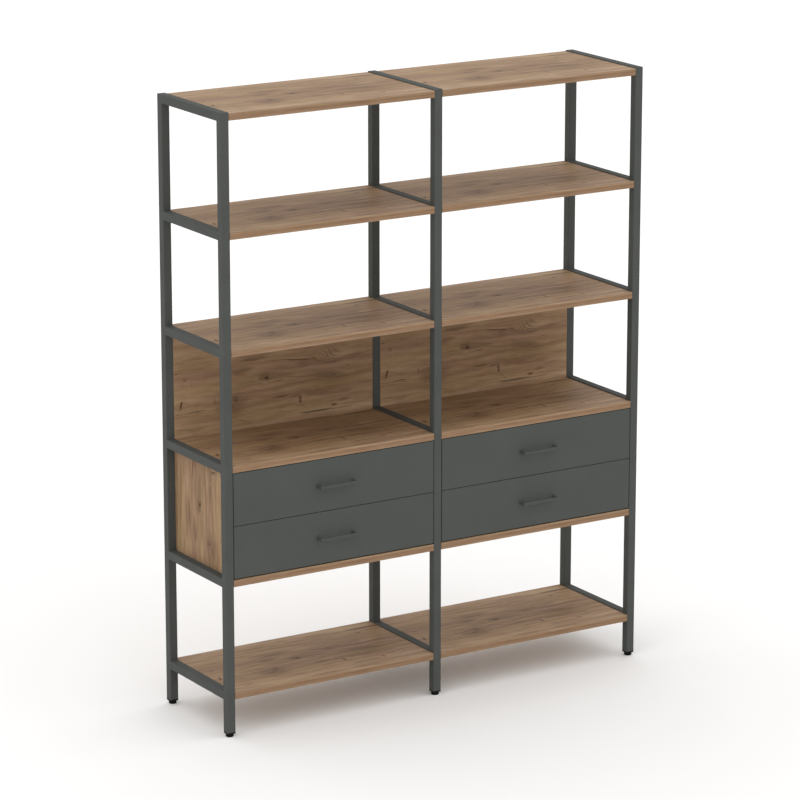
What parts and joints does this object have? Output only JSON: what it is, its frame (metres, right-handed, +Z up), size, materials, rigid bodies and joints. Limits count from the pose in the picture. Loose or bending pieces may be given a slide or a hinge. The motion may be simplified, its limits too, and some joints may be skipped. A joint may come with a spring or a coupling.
{
  "type": "shelving unit",
  "caption": "Open metal-framed shelving unit with wood-grain boards in two bays, a back panel in each bay and pairs of pull-out drawers at lower middle height.",
  "frame": {"origin": "on the floor, under the middle of the unit's bounding box, handles included", "axes": "+X towards the right bay seen from the front, -Y out of the drawer fronts, +Z up"},
  "size_m": [1.395, 0.384, 1.783],
  "materials": {
    "powder_coat": "fine matt powder coat, dark grey with a green tinge",
    "oak_laminate": "wood-grain melamine with knots and cracks, matt, banded edges",
    "front_laminate": "plain dark grey melamine, matt",
    "foot_plastic": "black moulded plastic",
    "drawer_steel": "grey epoxy coat",
    "runner_steel": "zinc-plated",
    "drawer_board": "pale grey melamine"
  },
  "bodies": {
    "carcass": {"frame_left": "powder_coat", "frame_middle": "powder_coat", "frame_right": "powder_coat", "foot_left_front": "foot_plastic", "foot_left_rear": "foot_plastic", "foot_middle_front": "foot_plastic", "foot_middle_rear": "foot_plastic", "foot_right_front": "foot_plastic", "foot_right_rear": "foot_plastic", "shelf_1_left": "oak_laminate", "shelf_2_left": "oak_laminate", "shelf_3_left": "oak_laminate", "shelf_4_left": "oak_laminate", "shelf_5_left": "oak_laminate", "shelf_6_left": "oak_laminate", "shelf_1_right": "oak_laminate", "shelf_2_right": "oak_laminate", "shelf_3_right": "oak_laminate", "shelf_4_right": "oak_laminate", "shelf_5_right": "oak_laminate", "shelf_6_right": "oak_laminate", "back_panel_left": "oak_laminate", "back_panel_right": "oak_laminate", "case_panel_left_left": "oak_laminate", "case_panel_left_right": "oak_laminate", "case_panel_right_left": "oak_laminate", "case_panel_right_right": "oak_laminate", "runner_left_lower_left": "runner_steel", "runner_left_lower_right": "runner_steel", "runner_left_upper_left": "runner_steel", "runner_left_upper_right": "runner_steel", "runner_right_lower_left": "runner_steel", "runner_right_lower_right": "runner_steel", "runner_right_upper_left": "runner_steel", "runner_right_upper_right": "runner_steel"},
    "drawer_left_lower": {"drawer_left_lower_front": "front_laminate", "drawer_left_lower_handle": "powder_coat", "drawer_left_lower_side_left": "drawer_steel", "drawer_left_lower_side_right": "drawer_steel", "drawer_left_lower_back": "drawer_board", "drawer_left_lower_bottom": "drawer_board"},
    "drawer_left_upper": {"drawer_left_upper_front": "front_laminate", "drawer_left_upper_handle": "powder_coat", "drawer_left_upper_side_left": "drawer_steel", "drawer_left_upper_side_right": "drawer_steel", "drawer_left_upper_back": "drawer_board", "drawer_left_upper_bottom": "drawer_board"},
    "drawer_right_lower": {"drawer_right_lower_front": "front_laminate", "drawer_right_lower_handle": "powder_coat", "drawer_right_lower_side_left": "drawer_steel", "drawer_right_lower_side_right": "drawer_steel", "drawer_right_lower_back": "drawer_board", "drawer_right_lower_bottom": "drawer_board"},
    "drawer_right_upper": {"drawer_right_upper_front": "front_laminate", "drawer_right_upper_handle": "powder_coat", "drawer_right_upper_side_left": "drawer_steel", "drawer_right_upper_side_right": "drawer_steel", "drawer_right_upper_back": "drawer_board", "drawer_right_upper_bottom": "drawer_board"}
  },
  "joints": [
    {"name": "drawer_left_lower_slide", "type": "slide", "parent": "carcass", "child": "drawer_left_lower", "axis": [0, -1, 0], "range_m": [0, 0.225]},
    {"name": "drawer_left_upper_slide", "type": "slide", "parent": "carcass", "child": "drawer_left_upper", "axis": [0, -1, 0], "range_m": [0, 0.225]},
    {"name": "drawer_right_lower_slide", "type": "slide", "parent": "carcass", "child": "drawer_right_lower", "axis": [0, -1, 0], "range_m": [0, 0.225]},
    {"name": "drawer_right_upper_slide", "type": "slide", "parent": "carcass", "child": "drawer_right_upper", "axis": [0, -1, 0], "range_m": [0, 0.225]}
  ]
}
